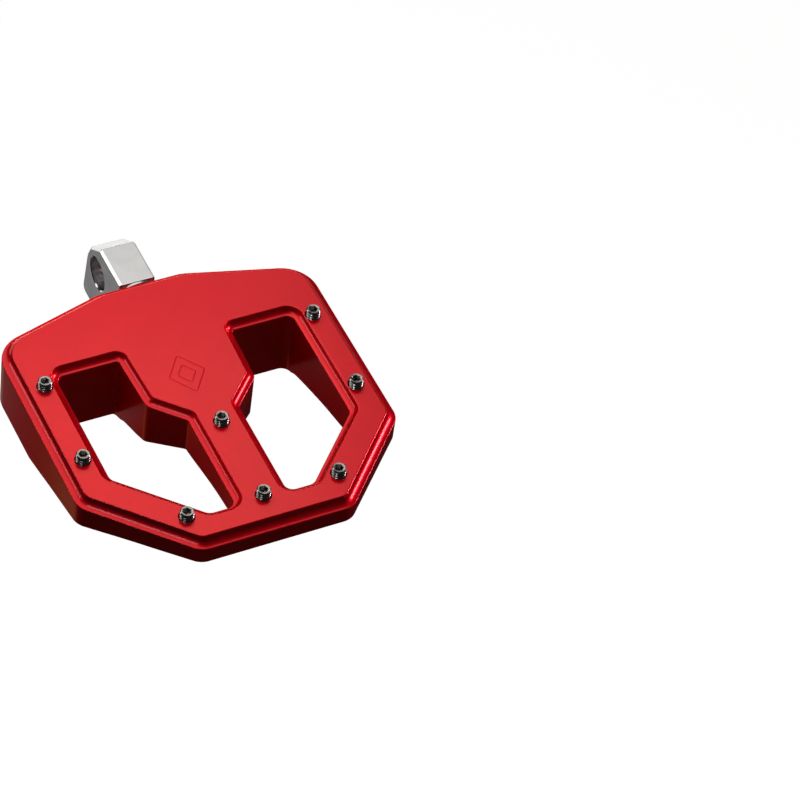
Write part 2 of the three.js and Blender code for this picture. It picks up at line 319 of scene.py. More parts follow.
def cove_section(wall, drop, edge, tread_edge):
    """(offset, z) from the tread over its edge, down a hollow cove, and over the rim's edge to the wall."""
    section = [(tread_edge * (s - 1), tread_edge * (c - 1)) for s, c in quarter(EDGE_STEPS)]
    (s1, c1), *rounding = quarter(EDGE_STEPS)[1:]
    width = wall - edge * (1 - s1)
    start = math.asin(tread_edge / drop * math.sin(COVE_END))
    for step in range(1, COVE_STEPS + 1):
        angle = start + (COVE_END - start) * step / COVE_STEPS
        section.append((width * (1 - math.cos(angle)) / (1 - math.cos(COVE_END)),
                        -drop * math.sin(angle) / math.sin(COVE_END)))
    return section + [(width + edge * (s - s1), edge * (c - c1) - drop) for s, c in rounding]


def smooth_curve(points, steps):
    """Points along a smooth curve through the given points."""
    ends = [points[0], *points, points[-1]]
    curve = []
    for p0, p1, p2, p3 in zip(ends, ends[1:], ends[2:], ends[3:]):
        for step in range(steps):
            t = step / steps
            curve.append(tuple(
                0.5 * (2 * b + (c - a) * t + (2 * a - 5 * b + 4 * c - d) * t ** 2
                       + (3 * b - a - 3 * c + d) * t ** 3)
                for a, b, c, d in zip(p0, p1, p2, p3)))
    return curve + [points[-1]]


UNDERSIDE_CURVE = smooth_curve(UNDERSIDE, CURVE_STEPS)


def depth_at(y):
    """Depth of the underside below the tread."""
    for (y0, depth0), (y1, depth1) in zip(UNDERSIDE_CURVE, UNDERSIDE_CURVE[1:]):
        if y < y1:
            return depth0 + (depth1 - depth0) * max(y - y0, 0.0) / (y1 - y0)
    return UNDERSIDE_DEPTH


# ---------- mesh making ----------

# From a drawing turned about Z to one about Y, and from points (y, z, x) to (x, y, z).
Z_TO_Y = Matrix(((1, 0, 0, 0), (0, 0, 1, 0), (0, -1, 0, 0), (0, 0, 0, 1)))
YZ_TO_SIDE = Matrix(((0, 0, 1, 0), (1, 0, 0, 0), (0, 1, 0, 0), (0, 0, 0, 1)))


def make_object(name, points, faces):
    """A new object from points and faces."""
    mesh = bpy.data.meshes.new(name)
    mesh.from_pydata([tuple(point) for point in points], [], faces)
    made = bpy.data.objects.new(name, mesh)
    bpy.context.scene.collection.objects.link(made)
    return made


def wall_faces(count, start_a, start_b):
    """Quads between two loops of points."""
    return [(start_a + i, start_b + i, start_b + (i + 1) % count, start_a + (i + 1) % count)
            for i in range(count)]


def loft(name, layers, ring=False):
    """A closed solid through loops of one length, highest first. A ring joins its last to its first."""
    count = len(layers[0])
    starts = [count * i for i in range(len(layers))]
    faces = []
    for start_a, start_b in zip(starts, starts[1:]):
        faces += wall_faces(count, start_a, start_b)
    if ring:
        faces += wall_faces(count, starts[-1], starts[0])
    else:
        faces += [tuple(range(count)), tuple(reversed(range(starts[-1], starts[-1] + count)))]
    return make_object(name, [point for layer in layers for point in layer], faces)


def level(loop, z):
    """An outline as points at one height."""
    return [(p.x, p.y, z) for p in loop]


def over_underside(loop, rise):
    """An outline as points at one height over the underside curve."""
    return [(p.x, p.y, rise - depth_at(p.y)) for p in loop]


def ring_points(radius, z, steps=ROUND_STEPS):
    """Points round Z at one height. The radius may depend on the angle."""
    angles = [2 * math.pi * i / steps for i in range(steps)]
    radii = [radius(angle) if callable(radius) else radius for angle in angles]
    return [(r * math.cos(angle), r * math.sin(angle), z) for r, angle in zip(radii, angles)]


def turned(name, rings, steps=ROUND_STEPS):
    """A closed solid turned about Z through (radius, z) rings, from its bottom pole to its top pole."""
    points = [point for radius, z in rings[1:-1] for point in ring_points(radius, z, steps)]
    faces = []
    for ring in range(len(rings) - 3):
        faces += wall_faces(steps, steps * (ring + 1), steps * ring)
    bottom, top = len(points), len(points) + 1
    points += [(0, 0, rings[0][1]), (0, 0, rings[-1][1])]
    last = steps * (len(rings) - 3)
    for i in range(steps):
        after = (i + 1) % steps
        faces += [(bottom, after, i), (last + i, last + after, top)]
    return make_object(name, points, faces)


def hexagon(across_flats):
    """Radius of a hexagon as a function of the angle."""
    def radius(angle):
        return across_flats / 2 / math.cos(angle % (math.pi / 3) - math.pi / 6)
    return radius


def bar_along_y(name, radius, y0, y1, edge=0.0):
    """A round bar along Y with a chamfer at both ends."""
    made = turned(name, [(0, y0), (radius - edge, y0), (radius, y0 + edge), (radius, y1 - edge),
                         (radius - edge, y1), (0, y1)])
    made.data.transform(Z_TO_Y)
    return made


def settle(piece):
    """Swaps the piece's mesh for what its modifiers make of it, and removes them."""
    depsgraph = bpy.context.evaluated_depsgraph_get()
    made = bpy.data.meshes.new_from_object(piece.evaluated_get(depsgraph), depsgraph=depsgraph)
    piece.modifiers.clear()
    old = piece.data
    piece.data = made
    bpy.data.meshes.remove(old)


def combine(target, operation, *tools):
    """Cuts, joins or intersects the target with each tool, and removes the tools."""
    for tool in tools:
        step = target.modifiers.new(tool.name, "BOOLEAN")
        step.operation = operation
        step.solver = "MANIFOLD"
        step.object = tool
    settle(target)
    for tool in tools:
        bpy.data.objects.remove(tool)


def finish_surface(piece):
    """Smooth shading with sharp edges kept, and flat faces that stay flat."""
    piece.data.shade_smooth()
    piece.data.set_sharp_from_angle(angle=SMOOTH_BELOW)
    even = piece.modifiers.new("even_normals", "WEIGHTED_NORMAL")
    even.keep_sharp = True
    settle(piece)


def put_in_frame(piece, origin=(0.0, 0.0, 0.0)):
    """Moves a piece drawn in millimetres about an origin into the frame, in metres."""
    piece.data.transform(Matrix.Scale(MM, 4) @ Matrix.Translation(origin))


def hand_over(piece, body, slot, *nodes):
    """Rides the piece on its body, in place of the CAD nodes it stands for."""
    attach(piece, body)
    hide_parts(*nodes)


# ---------- node making ----------

def add_node(tree, kind, inputs=(), **settings):
    """A new node, with each input given a value or joined to a socket."""
    node = tree.nodes.new(kind)
    for name, value in settings.items():
        setattr(node, name, value)
    for socket, value in dict(inputs).items():
        if isinstance(value, bpy.types.NodeSocket):
            tree.links.new(value, node.inputs[socket])
        else:
            node.inputs[socket].default_value = value
    return node


def maths(tree, operation, *values):
    """The result of one Math node."""
    return add_node(tree, "ShaderNodeMath", dict(enumerate(values)), operation=operation).outputs[0]


def vector_maths(tree, operation, inputs, output="Vector"):
    """The result of one Vector Math node."""
    return add_node(tree, "ShaderNodeVectorMath", inputs, operation=operation).outputs[output]


def map_range(tree, value, low, high, to_low=0.0, to_high=1.0, **settings):
    """A value carried from one range to another."""
    inputs = {"Value": value, "From Min": low, "From Max": high, "To Min": to_low, "To Max": to_high}
    return add_node(tree, "ShaderNodeMapRange", inputs, **settings).outputs["Result"]


# ---------- finishes ----------

def metal(name, colour, roughness, **constants):
    """A plain metal, ready for its own pattern: the material, its tree and its shader."""
    material = bpy.data.materials.new(name)
    material.use_nodes = True
    tree = material.node_tree
    shader = tree.nodes["Principled BSDF"]
    shader.inputs["Base Color"].default_value = (*colour, 1.0)
    shader.inputs["Metallic"].default_value = 1.0
    shader.inputs["Roughness"].default_value = roughness
    for socket, value in constants.items():
        shader.inputs[socket.replace("_", " ")].default_value = value
    return material, tree, shader


def object_noise(tree, scale, detail=2.0, stretch=(1.0, 1.0, 1.0)):
    """Noise on the piece's own coordinates, with so many grains to a metre."""
    coordinates = add_node(tree, "ShaderNodeTexCoord").outputs["Object"]
    place = add_node(tree, "ShaderNodeMapping", {"Vector": coordinates, "Scale": stretch})
    inputs = {"Vector": place.outputs["Vector"], "Scale": scale, "Detail": detail}
    return add_node(tree, "ShaderNodeTexNoise", inputs).outputs["Fac"]


def blend_colours(tree, factor, first, second):
    """A colour between two, by a factor."""
    mix = add_node(tree, "ShaderNodeMix", data_type="RGBA")
    tree.links.new(factor, mix.inputs["Factor"])
    for socket, value in zip([s for s in mix.inputs if s.type == "RGBA"], (first, second)):
        if isinstance(value, bpy.types.NodeSocket):
            tree.links.new(value, socket)
        else:
            socket.default_value = (*value, 1.0)
    return next(s for s in mix.outputs if s.type == "RGBA")


def bump(tree, height, depth, strength=1.0, normal=None):
    """A normal raised by a height between 0 and 1."""
    inputs = {"Height": height, "Distance": depth, "Strength": strength}
    if normal is not None:
        inputs["Normal"] = normal
    return add_node(tree, "ShaderNodeBump", inputs).outputs["Normal"]


def red_anodised(finishes):
    """Bead-blasted aluminium, anodised red: fine grain, soft clouds in the dye and in the sheen."""
    material, tree, shader = metal(
        "red_anodised", finishes.red, roughness=0.48, Specular_Tint=(*finishes.edge_tint, 1.0),
        Coat_Weight=0.6, Coat_Roughness=0.17, Coat_IOR=1.5)
    clouds = map_range(tree, object_noise(tree, scale=90.0, detail=3.0), 0.35, 0.65)
    dye = blend_colours(tree, clouds, finishes.red, finishes.deep_red)
    tree.links.new(dye, shader.inputs["Base Color"])
    uneven = object_noise(tree, scale=700.0, detail=3.0)
    sheen = map_range(tree, uneven, 0.3, 0.7, to_low=0.45, to_high=0.51)
    tree.links.new(sheen, shader.inputs["Roughness"])
    coarse = bump(tree, object_noise(tree, scale=1800.0, detail=2.0), depth=0.0000015)
    fine = bump(tree, object_noise(tree, scale=5200.0, detail=1.0), depth=0.0000007, normal=coarse)
    tree.links.new(fine, shader.inputs["Normal"])
    return material


def brushed(name, colour, roughness, spread, stretch, depth=0.000001):
    """Steel with fine tool lines along one axis and slight clouds."""
    material, tree, shader = metal(name, colour, roughness)
    lines = object_noise(tree, scale=1500.0, detail=4.0, stretch=stretch)
    clouds = object_noise(tree, scale=160.0, detail=3.0)
    both = maths(tree, "MULTIPLY_ADD", lines, 0.6, maths(tree, "MULTIPLY", clouds, 0.4))
    uneven = map_range(tree, both, 0.35, 0.65, roughness - spread, roughness + spread)
    tree.links.new(uneven, shader.inputs["Roughness"])
    darker = tuple(0.95 * channel for channel in colour)
    tone = blend_colours(tree, map_range(tree, clouds, 0.35, 0.65), colour, darker)
    tree.links.new(tone, shader.inputs["Base Color"])
    tree.links.new(bump(tree, lines, depth), shader.inputs["Normal"])
    return material


def satin_steel(finishes):
    """Machined steel of the tongue, with tool lines across it."""
    return brushed("satin_steel", finishes.satin_steel, roughness=0.22, spread=0.05,
                   stretch=(1.0, 0.08, 1.0))


def threaded_steel(finishes):
    """Plain steel of the traction pins."""
    return brushed("threaded_steel", finishes.pin_steel, roughness=0.24, spread=0.03,
                   stretch=(1.0, 1.0, 5.0), depth=0.0000002)


def black_oxide(finishes):
    """Blackened steel of the clamp bolt and the lock washer."""
    return brushed("black_oxide", finishes.black_steel, roughness=0.34, spread=0.08,
                   stretch=(1.0, 5.0, 1.0))


def washer_zinc(finishes):
    """Zinc plating of the flat washer."""
    return brushed("washer_zinc", finishes.zinc, roughness=0.3, spread=0.06, stretch=(1.0, 1.0, 1.0))


# ---------- ridges: a thread or a knurl worked into a turned blank ----------

def ridge_tree():
    """Geometry nodes that work ridges into the surface marked "ridged", then turn and place the piece."""
    name = "worked_ridges"
    if name in bpy.data.node_groups:
        return bpy.data.node_groups[name]
    tree = bpy.data.node_groups.new(name, "GeometryNodeTree")
    sockets = [
        ("Geometry", "NodeSocketGeometry"), ("Ridges per metre", "NodeSocketFloat"),
        ("Ridges around", "NodeSocketFloat"), ("Depth", "NodeSocketFloat"),
        ("Turn", "NodeSocketRotation"), ("Place", "NodeSocketVector"),
        ("Finish", "NodeSocketMaterial"),
    ]
    for label, kind in sockets:
        tree.interface.new_socket(label, in_out="INPUT", socket_type=kind)
    tree.interface.new_socket("Geometry", in_out="OUTPUT", socket_type="NodeSocketGeometry")
    given = add_node(tree, "NodeGroupInput").outputs

    position = add_node(tree, "GeometryNodeInputPosition").outputs["Position"]
    parts = add_node(tree, "ShaderNodeSeparateXYZ", {"Vector": position}).outputs
    turns = maths(tree, "DIVIDE", maths(tree, "ARCTAN2", parts["Y"], parts["X"]), 2 * math.pi)
    along = maths(tree, "MULTIPLY", parts["Z"], given["Ridges per metre"])
    phase = maths(tree, "MULTIPLY_ADD", turns, given["Ridges around"], along)
    wave = map_range(tree, maths(tree, "PINGPONG", phase, 0.5), 0.04, 0.42)
    mark = add_node(tree, "GeometryNodeInputNamedAttribute", {"Name": "ridged"}, data_type="FLOAT")
    share = maths(tree, "MULTIPLY", wave, mark.outputs["Attribute"])
    depth = maths(tree, "MULTIPLY", share, given["Depth"])
    outward = add_node(tree, "ShaderNodeCombineXYZ", {"X": parts["X"], "Y": parts["Y"]}).outputs["Vector"]
    outward = vector_maths(tree, "NORMALIZE", {0: outward})
    inward = vector_maths(tree, "SCALE", {0: outward, "Scale": maths(tree, "MULTIPLY", depth, -1.0)})

    worked = add_node(tree, "GeometryNodeSetPosition", {"Geometry": given["Geometry"], "Offset": inward})
    placed = add_node(tree, "GeometryNodeTransform", {
        "Geometry": worked.outputs["Geometry"], "Translation": given["Place"], "Rotation": given["Turn"]})
    real = add_node(tree, "GeometryNodeRealizeInstances", {"Geometry": placed.outputs["Geometry"]})
    coated = add_node(tree, "GeometryNodeSetMaterial", {
        "Geometry": real.outputs["Geometry"], "Material": given["Finish"]})
    add_node(tree, "NodeGroupOutput", {"Geometry": coated.outputs["Geometry"]})
    return tree


def mark_ridged(blank, radius, low, high, fade):
    """Marks the share of the ridges' depth at each point of a blank's surface, fading at both heights."""
    mark = blank.data.attributes.new("ridged", "FLOAT", "POINT")
    surface = radius - 1e-3
    for point, value in zip(blank.data.vertices, mark.data):
        inside = min(point.co.z - low, high - point.co.z) / fade
        value.value = min(max(inside, 0.0), 1.0) if point.co.xy.length > surface else 0.0


def work_ridges(blank, values):
    """Runs the ridge nodes on a blank with the given input values."""
    tree = ridge_tree()
    worker = blank.modifiers.new("ridges", "NODES")
    worker.node_group = tree
    identifiers = {item.name: item.identifier for item in tree.interface.items_tree
                   if item.in_out == "INPUT"}
    for label, value in values.items():
        worker[identifiers[label]] = value
    settle(blank)


# ---------- platform ----------

def platform_blank(sizes):
    """The full outline with its stepped rim, as deep as the pad."""
    section = cove_section(RIM_OFFSET, sizes.rim_drop, sizes.rim_edge, sizes.tread_edge)
    section.append((section[-1][0], -UNDERSIDE_DEPTH - BEYOND))
    return loft("platform", [level(rounded_loop(OUTLINE, offset), z) for offset, z in section])


def bottom_bevel(sizes):
    """What the bevel along the bottom leaves: a block that tapers, and the pad behind the tongue."""
    drop = UNDERSIDE_DEPTH - sizes.side_wall
    outside = 2.0
    section = [
        (RIM_OFFSET + outside, outside), (RIM_OFFSET + outside, outside - sizes.side_wall),
        (RIM_OFFSET - drop - outside, -UNDERSIDE_DEPTH - outside),
    ]
    taper = loft("taper", [level(rounded_loop(OUTLINE, offset), z) for offset, z in section])
    y0, y1 = REAR_FACE - sizes.pad_length, REAR_FACE + BEYOND
    x = sizes.pad_half_width
    corner = 1.0
    loop = rounded_loop([(-x, y0, corner), (x, y0, corner), (x, y1, corner), (-x, y1, corner)])
    pad = loft("pad", [level(loop, outside), level(loop, -UNDERSIDE_DEPTH - outside)])
    combine(taper, "UNION", pad)
    return taper


def underside_tool():
    """Everything below the underside curve."""
    rear, bottom = REAR_FACE + BEYOND, -UNDERSIDE_DEPTH - 2 * BEYOND
    outline = [(y, -depth) for y, depth in UNDERSIDE_CURVE]
    outline += [(rear, -UNDERSIDE_DEPTH), (rear, bottom), (UNDERSIDE[0][0], bottom)]
    outline.reverse()
    reach = HALF_WIDTH + BEYOND
    tool = loft("underside", [[(y, z, x) for y, z in outline] for x in (reach, -reach)])
    tool.data.transform(YZ_TO_SIDE)
    return tool


def lower_rounding(edge):
    """(offset, height over the underside) of a rounded lower edge that runs on below it."""
    section = [(edge * (c - 1), edge * (1 - s)) for s, c in quarter(EDGE_STEPS)[:-1]]
    (x0, z0), (x1, z1) = section[-2:]
    reach = RUN_ON / (z0 - z1)
    return section + [(x1 + (x1 - x0) * reach, z1 + (z1 - z0) * reach)]


def lower_layers(corners, wall, edge, outwards):
    """Layers that round a wall's lower edge and go on below it. Outwards is -1 for a window's wall."""
    rounding = lower_rounding(edge)
    layers = [over_underside(rounded_loop(corners, outwards * (wall + offset)), rise)
              for offset, rise in rounding]
    last = rounded_loop(corners, outwards * (wall + rounding[-1][0]))
    return layers + [level(last, -UNDERSIDE_DEPTH - BEYOND)]


def skirt(sizes):
    """A block that leaves a rounded lower edge along the outer wall."""
    margin = 1.0
    around = rounded_loop(OUTLINE, RIM_OFFSET + margin)
    layers = [level(around, margin), over_underside(around, margin)]
    return loft("skirt", layers + lower_layers(OUTLINE, RIM_OFFSET, sizes.lower_edge, outwards=1))


def window_tool(corners, sizes):
    """A window with its stepped rim, through the whole depth, with a rounded lower edge."""
    section = cove_section(sizes.window_rim, sizes.window_drop, sizes.window_edge, sizes.tread_edge)
    opening, top = section[0]
    layers = [level(rounded_loop(corners, -opening), top + BEYOND)]
    layers += [level(rounded_loop(corners, -offset), z) for offset, z in section]
    wall = section[-1][0]
    return loft("window", layers + lower_layers(corners, wall, sizes.lower_edge, outwards=-1))


def pocket_tool(sizes):
    """The pocket under the platform that holds the clamp bolt's head."""
    x, front, seat = sizes.pocket_half_width, sizes.pocket_front, sizes.pocket_seat
    corner = sizes.pocket_corner
    corners = [(-x, front, corner), (x, front, corner), (x, seat, corner / 2), (-x, seat, corner / 2)]
    fillet = 1.2
    layers = [level(rounded_loop(corners, fillet * (s - 1)), fillet * (c - 1) - sizes.pocket_ceiling)
              for s, c in quarter(EDGE_STEPS)]
    layers.append(level(rounded_loop(corners), -UNDERSIDE_DEPTH - BEYOND))
    return loft("pocket", layers)


def pin_hole_tool(place, sizes):
    """A hole for a traction pin, countersunk."""
    radius, sink, floor = sizes.pin_hole, sizes.countersink, -sizes.pin_hole_depth
    drill_point = 0.6 * radius
    rings = [(0, floor - drill_point), (radius, floor), (radius, -sink),
             (radius + sink + BEYOND, BEYOND), (0, BEYOND)]
    tool = turned("pin_hole", rings, PIN_STEPS)
    tool.data.transform(Matrix.Translation(place))
    return tool


def mark_tool(sizes, scale):
    """A fine V-shaped line round a diamond, to engrave into the tread."""
    half, depth = sizes.mark_width / 2, sizes.mark_depth
    over = 0.1
    flare = half * (1 + over / depth)
    section = [(flare, over), (0.0, -depth), (-flare, over)]
    corners = [(x * scale, y * scale, radius) for x, y, radius in DIAMOND]
    tool = loft("mark", [level(rounded_loop(corners, offset), z) for offset, z in section], ring=True)
    tool.data.transform(Matrix.Translation((*DIAMOND_CENTRE, 0.0)))
    return tool


def pin_places():
    """Each traction pin's node with its place about the centre pin, on the tread."""
    for node in PIN_NODES:
        low, high = box_mm(node)
        middle = (low + high) / 2
        yield node, Vector((middle.x, middle.y - TREAD_ORIGIN.y, 0.0))


def make_platform(settings):
    """The whole platform in millimetres about its centre pin."""
    sizes, hardware = millimetres(settings.platform), millimetres(settings.hardware)
    tongue = millimetres(settings.tongue)
    platform = platform_blank(sizes)
    combine(platform, "INTERSECT", bottom_bevel(sizes), skirt(sizes))
    rear = Vector((0.0, 0.0, STEM_HEIGHT))
    bolt_hole = bar_along_y("bolt_hole", hardware.bolt_hole, hardware.pocket_seat - BEYOND, REAR_FACE)
    stem_front = TONGUE_LOW.y - TREAD_ORIGIN.y - STEM_GAP
    stem_hole = bar_along_y("stem_hole", tongue.stem + STEM_GAP, stem_front, REAR_FACE + BEYOND)
    for bar in (bolt_hole, stem_hole):
        bar.data.transform(Matrix.Translation(rear))
    combine(
        platform, "DIFFERENCE", underside_tool(),
        window_tool(RIGHT_WINDOW, sizes), window_tool(mirrored(RIGHT_WINDOW), sizes),
        pocket_tool(hardware), bolt_hole, stem_hole,
        *[mark_tool(sizes, scale) for scale in DIAMOND_SCALES],
        *[pin_hole_tool(place, sizes) for _, place in pin_places()],
    )
    return platform


# ---------- tongue ----------

def make_tongue(settings):
    """The hinge tongue with its boss and stem, in millimetres about the pivot."""
    sizes = millimetres(settings.tongue)
    half, edge = sizes.half_width, sizes.edge
    section = [(-edge, half), (0, half - edge), (0, edge - half), (-edge, -half)]
    tongue = loft("mount_tongue_fine", [
        [(p.x, p.y, x) for p in rounded_loop(TONGUE_SIDE, offset)] for offset, x in section])
    tongue.data.transform(YZ_TO_SIDE)

    boss_front, overlap = REAR_FACE + TREAD_ORIGIN.y + STEM_GAP, 0.2
    boss = bar_along_y("boss", sizes.boss, boss_front, TONGUE_FRONT + overlap, edge=0.12)
    stem = bar_along_y("stem", sizes.stem, TONGUE_LOW.y, TONGUE_FRONT + overlap, edge=0.4)
    combine(tongue, "UNION", boss, stem)

    straight = half - sizes.hole_edge
    flare = sizes.hole + sizes.hole_edge + BEYOND
    rings = [(0, -half - BEYOND), (flare, -half - BEYOND), (sizes.hole, -straight),
             (sizes.hole, straight), (flare, half + BEYOND), (0, half + BEYOND)]
    hole = turned("pivot_hole", rings)
    hole.data.transform(Matrix.Rotation(math.pi / 2, 4, "Y"))
    bore = bar_along_y("bore", sizes.stem_bore, TONGUE_LOW.y - BEYOND, -sizes.stem_bore_end)
    combine(tongue, "DIFFERENCE", hole, bore)
    return tongue


# ---------- traction pins ----------

def pin_blank(sizes, low, high):
    """A socket set screw between two heights, with rings close enough for its thread."""
    radius, edge = sizes.radius, sizes.edge
    threaded = high - low - 2 * edge
    count = round(threaded / (sizes.pitch / THREAD_RINGS))
    rings = [(0, low), (radius - 2 * edge, low), (radius - edge, low + edge / 3)]
    rings += [(radius, low + edge + threaded * i / count) for i in range(count + 1)]
    crown_edge = 0.06
    rings += [(radius - edge + crown_edge, high - crown_edge), (radius - edge, high)]
    lip = sizes.hexagon / math.sqrt(3) + sizes.socket_edge
    floor = high - sizes.hexagon_depth
    rings += [(lip, high), (hexagon(sizes.hexagon), high - sizes.socket_edge),
              (hexagon(sizes.hexagon), floor), (0, floor - sizes.hexagon / 4)]
    return turned("traction_pin_blank", rings, PIN_STEPS)


def make_pins(settings):
    """One threaded pin for each body, with its node, each turned on from the one before."""
    sizes = millimetres(settings.pin)
    finish = threaded_steel(settings.finishes)
    turn = 1.9
    low, high = CENTRE_PIN_LOW.z - TREAD_ORIGIN.z, CENTRE_PIN_HIGH.z - TREAD_ORIGIN.z
    made = []
    for index, (node, place) in enumerate(pin_places()):
        pin = pin_blank(sizes, low, high)
        pin.name = f"{node}_threaded"
        mark_ridged(pin, sizes.radius, low + sizes.edge, high - sizes.edge, fade=sizes.pitch / 6)
        put_in_frame(pin)
        work_ridges(pin, {
            "Ridges per metre": 1 / (sizes.pitch * MM), "Ridges around": -1.0,
            "Depth": sizes.thread_depth * MM, "Turn": (0.0, 0.0, turn * index),
            "Place": (TREAD_ORIGIN + place) * MM, "Finish": finish,
        })
        made.append((pin, node))
    return made


# ---------- clamp bolt and washers ----------

def make_bolt(settings, finish):
    """The clamp bolt with a knurled head and a hexagon socket."""
    sizes = millimetres(settings.hardware)
    reach = BOLT_HIGH.y - BOLT_LOW.y
    radius, height, edge = BOLT_HIGH.x, sizes.head_height, sizes.head_edge
    tip, seat_edge, socket_edge, drill_point = 1.0, 0.2, 0.4, 1.0
    hexed, floor = hexagon(sizes.bolt_hexagon), -sizes.bolt_hexagon_depth
    lip = sizes.bolt_hexagon / math.sqrt(3) + socket_edge
    rings = [(0, -reach), (sizes.bolt - tip, -reach), (sizes.bolt, tip - reach),
             (sizes.bolt, -height), (radius - seat_edge, -height), (radius, seat_edge - height)]
    rings += [(radius, seat_edge - height + (height - edge - seat_edge) * i / KNURL_RINGS)
              for i in range(1, KNURL_RINGS + 1)]
    rings += [(radius - edge * (1 - c), -edge * (1 - s)) for s, c in quarter(EDGE_STEPS)[1:]]
    rings += [(lip, 0), (hexed, -socket_edge), (hexed, floor), (0, floor - drill_point)]
    bolt = turned("clamp_bolt_knurled", rings, 4 * settings.knurls)
    mark_ridged(bolt, radius, seat_edge - height, -edge, fade=0.8)
    put_in_frame(bolt)
    work_ridges(bolt, {
        "Ridges per metre": 0.0, "Ridges around": float(settings.knurls),
        "Depth": sizes.knurl_depth * MM, "Turn": (math.pi / 2, 0.0, 0.0),
        "Place": (0.0, BOLT_LOW.y * MM, 0.0), "Finish": finish,
    })
    return bolt


def washer_section(bore, outer, low, high, edge):
    """A closed ring section with rounded corners, counter-clockwise."""
    corners = [(bore, low, edge), (outer, low, edge), (outer, high, edge), (bore, high, edge)]
    return [tuple(p) for p in rounded_loop(corners, steps=EDGE_STEPS)]


def make_flat_washer(settings):
    """The flat washer, turned with rounded edges."""
    sizes = millimetres(settings.hardware)
    low, high = box_mm("flat_washer")
    section = washer_section(sizes.washer_bore, high.x, low.y, high.y, sizes.washer_edge)
    washer = loft("flat_washer_fine", [ring_points(r, z) for r, z in reversed(section)], ring=True)
    washer.data.transform(Z_TO_Y)
    return washer


def make_lock_washer(settings):
    """The lock washer: one open turn of square wire whose ends stand a little apart."""
    sizes = millimetres(settings.hardware)
    low, high = box_mm("lock_washer")
    spread = 0.25
    section = washer_section(sizes.washer_bore, high.x, low.y, high.y - spread, sizes.washer_edge)
    middle = (sizes.washer_bore + high.x) / 2
    opening = sizes.washer_slit / middle
    layers = []
    for step in range(ROUND_STEPS + 1):
        part = step / ROUND_STEPS
        angle = opening / 2 + (2 * math.pi - opening) * part - math.pi / 2
        layers.append([(r * math.cos(angle), y + spread * part, r * math.sin(angle)) for r, y in section])
    return loft("lock_washer_split", layers)


# ---------- studio ----------

WHITE = (1.0, 1.0, 1.0)
PLATFORM_MIDDLE = (0.0, -0.07, 0.0)
PIVOT = (0.0, 0.0, 0.0)

# Soft lights: name, place, (width, height), radiance, tint, and the place that each one points at.
LIGHTS = [
    ("overhead", (-0.06, 0.31, 0.62), (0.88, 0.98), 0.94, (1.0, 0.98, 0.96), PLATFORM_MIDDLE),
    ("front_left_card", (0.05, 0.07, 0.27), (0.16, 0.16), 0.5, (1.0, 0.9, 0.6), PLATFORM_MIDDLE),
    ("top_card", (-0.30, -0.18, 0.62), (0.12, 0.12), 5.0, WHITE, PLATFORM_MIDDLE),
    ("left_rear", (-0.61, 0.46, 0.31), (0.22, 0.22), 3.4, (1.0, 0.95, 0.9), PLATFORM_MIDDLE),
    ("low_rear", (0.12, 0.98, -0.35), (1.05, 0.35), 1.25, WHITE, PLATFORM_MIDDLE),
    ("rear_strip", (0.34, 0.93, 0.02), (0.8, 0.14), 4.6, (1.0, 0.93, 0.85), PLATFORM_MIDDLE),
    ("right", (0.87, -0.09, 0.34), (0.20, 0.20), 20.0, (1.0, 0.76, 0.9), PLATFORM_MIDDLE),
    ("left_card", (-0.155, 0.02, -0.15), (0.09, 0.15), 0.22, (1.0, 0.8, 0.35), (-0.057, -0.10, 0.0)),
    ("tongue_card", (-0.085, 0.125, -0.16), (0.08, 0.10), 0.27, WHITE, PIVOT),
    ("low_right", (0.66, 0.62, -0.34), (0.40, 0.40), 0.6, WHITE, PLATFORM_MIDDLE),
    ("front_right", (0.66, -0.66, -0.34), (0.40, 0.40), 0.25, WHITE, PLATFORM_MIDDLE),
    ("below", (0.0, -0.05, -0.8), (0.55, 0.55), 0.3, WHITE, PLATFORM_MIDDLE),
]


def soft_light(name, place, size, radiance, tint, target):
    """A rectangular soft light of an even brightness, pointed at a target."""
    data = bpy.data.lights.new(name, "AREA")
    data.shape = "RECTANGLE"
    data.size, data.size_y = size
    data.energy = radiance * math.pi * size[0] * size[1]
    data.color = tint
    lamp = bpy.data.objects.new(name, data)
    bpy.context.scene.collection.objects.link(lamp)
    turn = (Vector(target) - Vector(place)).to_track_quat("-Z", "Y").to_matrix().to_4x4()
    lamp.matrix_world = Matrix.Translation(place) @ turn
    lamp.visible_camera = False


def make_camera(studio):
    """The camera, in front of the left corner, above the tread and turned a little on its axis."""
    azimuth, elevation, roll = studio.azimuth, studio.elevation, studio.roll
    back = Vector((math.sin(azimuth) * math.cos(elevation), -math.cos(azimuth) * math.cos(elevation),
                   math.sin(elevation)))
    level_right = Vector((0, 0, 1)).cross(back).normalized()
    level_up = back.cross(level_right)
    right = level_right * math.cos(roll) + level_up * math.sin(roll)
    up = back.cross(right)
    data = bpy.data.cameras.new("camera")
    data.lens = studio.lens
    camera = bpy.data.objects.new("camera", data)
    bpy.context.scene.collection.objects.link(camera)
    place = right * studio.aside - up * studio.below + back * studio.distance
    turn = Matrix((right, up, back)).transposed().to_4x4()
    camera.matrix_world = Matrix.Translation(place) @ turn
    bpy.context.scene.camera = camera


